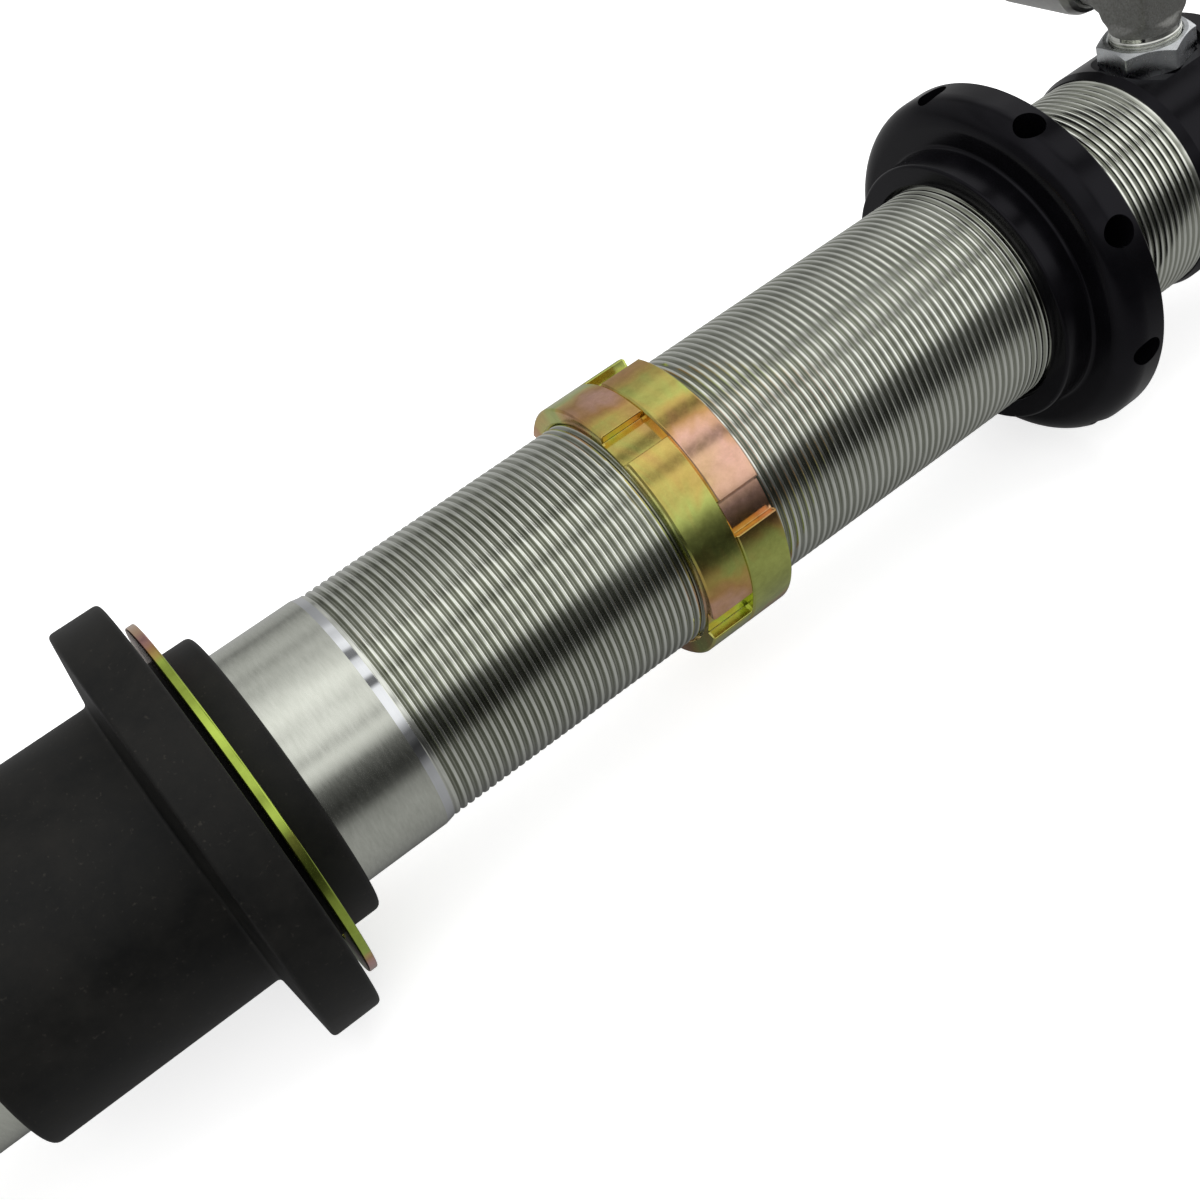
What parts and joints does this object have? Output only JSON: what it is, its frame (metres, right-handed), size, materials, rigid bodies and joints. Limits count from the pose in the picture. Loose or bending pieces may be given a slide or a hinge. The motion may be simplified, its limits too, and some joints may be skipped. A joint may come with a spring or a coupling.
{
  "type": "coilover shock",
  "caption": "Threaded-body coilover damper with spring adjuster nut, crossover lock rings, dual-rate slider, hose elbow and spherical-bearing eyes.",
  "frame": {"origin": "centre of the upper eye, on its bolt line", "axes": "+X along the shock from the upper eye to the lower eye, +Y along the eye bolts, +Z out of the cap through the hose port"},
  "size_m": [0.9183, 0.1104, 0.1178],
  "materials": {
    "tube_zinc": "bright zinc plate, rolled thread and brushed bare length",
    "cap_black": "black anodised, satin",
    "nut_black": "black anodised, satin",
    "ring_yellow": "yellow chromate over zinc, iridescent satin",
    "washer_yellow": "yellow chromate over zinc",
    "slider_plastic": "machined black plastic",
    "jam_nut_zinc": "clear zinc plate, bluish",
    "elbow_grey": "blasted forging, grey",
    "socket_steel": "grey zinc plate, turned",
    "rubber_black": "moulded rubber",
    "backup_white": "white low-friction plastic",
    "bearing_steel": "ground bearing steel",
    "spring_steel": "phosphated spring steel",
    "spacer_steel": "turned stainless steel",
    "head_aluminium": "turned, clear anodised",
    "bushing_bronze": "bearing bronze",
    "seal_polyurethane": "moulded polyurethane",
    "shaft_chrome": "hard chrome, polished",
    "piston_aluminium": "hard anodised",
    "wear_band_bronze": "bronze-filled low-friction plastic",
    "shim_steel": "bright strip steel",
    "stack_nut_steel": "zinc-plated steel",
    "bump_foam": "cellular polyurethane",
    "perch_black": "black anodised, satin",
    "rod_end_steel": "nickel-plated steel"
  },
  "bodies": {
    "damper_body": {"body_tube": "tube_zinc", "body_cap": "cap_black", "cap_oring": "rubber_black", "port_oring": "rubber_black", "port_backup_ring": "backup_white", "port_jam_nut": "jam_nut_zinc", "elbow_fitting": "elbow_grey", "hose_socket": "socket_steel", "upper_bearing_race": "bearing_steel", "upper_snap_rings": "spring_steel", "seal_head": "head_aluminium", "seal_head_oring": "rubber_black", "shaft_bushing": "bushing_bronze", "shaft_seal": "seal_polyurethane", "head_lock_ring": "spring_steel", "dust_cap": "cap_black", "scraper": "seal_polyurethane"},
    "adjuster": {"adjuster_nut": "nut_black"},
    "ring_upper": {"crossover_ring_upper": "ring_yellow"},
    "ring_lower": {"crossover_ring_lower": "ring_yellow"},
    "slider": {"dual_rate_slider": "slider_plastic"},
    "washer": {"slider_washer": "washer_yellow"},
    "shaft_assembly": {"shaft": "shaft_chrome", "top_out_spacer": "head_aluminium", "rebound_shims": "shim_steel", "piston": "piston_aluminium", "wear_band": "wear_band_bronze", "compression_shims": "shim_steel", "piston_nut": "stack_nut_steel", "bump_stop": "bump_foam", "lower_spring_perch": "perch_black", "rod_end": "rod_end_steel", "lower_bearing_race": "bearing_steel", "lower_snap_rings": "spring_steel"},
    "upper_ball": {"upper_ball": "bearing_steel"},
    "upper_spacers": {"upper_spacers": "spacer_steel"},
    "lower_ball": {"lower_ball": "bearing_steel"},
    "lower_spacers": {"lower_spacers": "spacer_steel"}
  },
  "joints": [
    {"name": "shaft_slide", "type": "slide", "parent": "damper_body", "child": "shaft_assembly", "axis": [-1, 0, 0], "range_m": [0, 0.305], "stiffness_N_per_m": 400, "springref_m": -0.5},
    {"name": "adjuster_slide", "type": "slide", "parent": "damper_body", "child": "adjuster", "axis": [1, 0, 0], "range_m": [-0.035, 0.088]},
    {"name": "ring_lower_slide", "type": "slide", "parent": "damper_body", "child": "ring_lower", "axis": [1, 0, 0], "range_m": [-0.088, 0.072]},
    {"name": "ring_upper_slide", "type": "slide", "parent": "damper_body", "child": "ring_upper", "axis": [1, 0, 0], "range_m": [-0.088, 0.072]},
    {"name": "slider_slide", "type": "slide", "parent": "damper_body", "child": "slider", "axis": [1, 0, 0], "range_m": [-0.099, 0.04]},
    {"name": "washer_slide", "type": "slide", "parent": "slider", "child": "washer", "axis": [1, 0, 0], "range_m": [-0.008, 0.0014]},
    {"name": "upper_ball_tilt", "type": "hinge", "parent": "damper_body", "child": "upper_ball", "pos_m": [0, 0, 0], "axis": [0, 0, 1], "range_deg": [-12, 12]},
    {"name": "upper_spacer_spin", "type": "hinge", "parent": "upper_ball", "child": "upper_spacers", "pos_m": [0, 0, 0], "axis": [0, 1, 0], "continuous": true},
    {"name": "lower_ball_tilt", "type": "hinge", "parent": "shaft_assembly", "child": "lower_ball", "pos_m": [0.8675, 0, 0], "axis": [0, 0, 1], "range_deg": [-12, 12]},
    {"name": "lower_spacer_spin", "type": "hinge", "parent": "lower_ball", "child": "lower_spacers", "pos_m": [0.8675, 0, 0], "axis": [0, 1, 0], "continuous": true}
  ],
  "couplings": [
    {"joint": "ring_upper_slide", "follows": "ring_lower_slide", "ratio": 1}
  ]
}
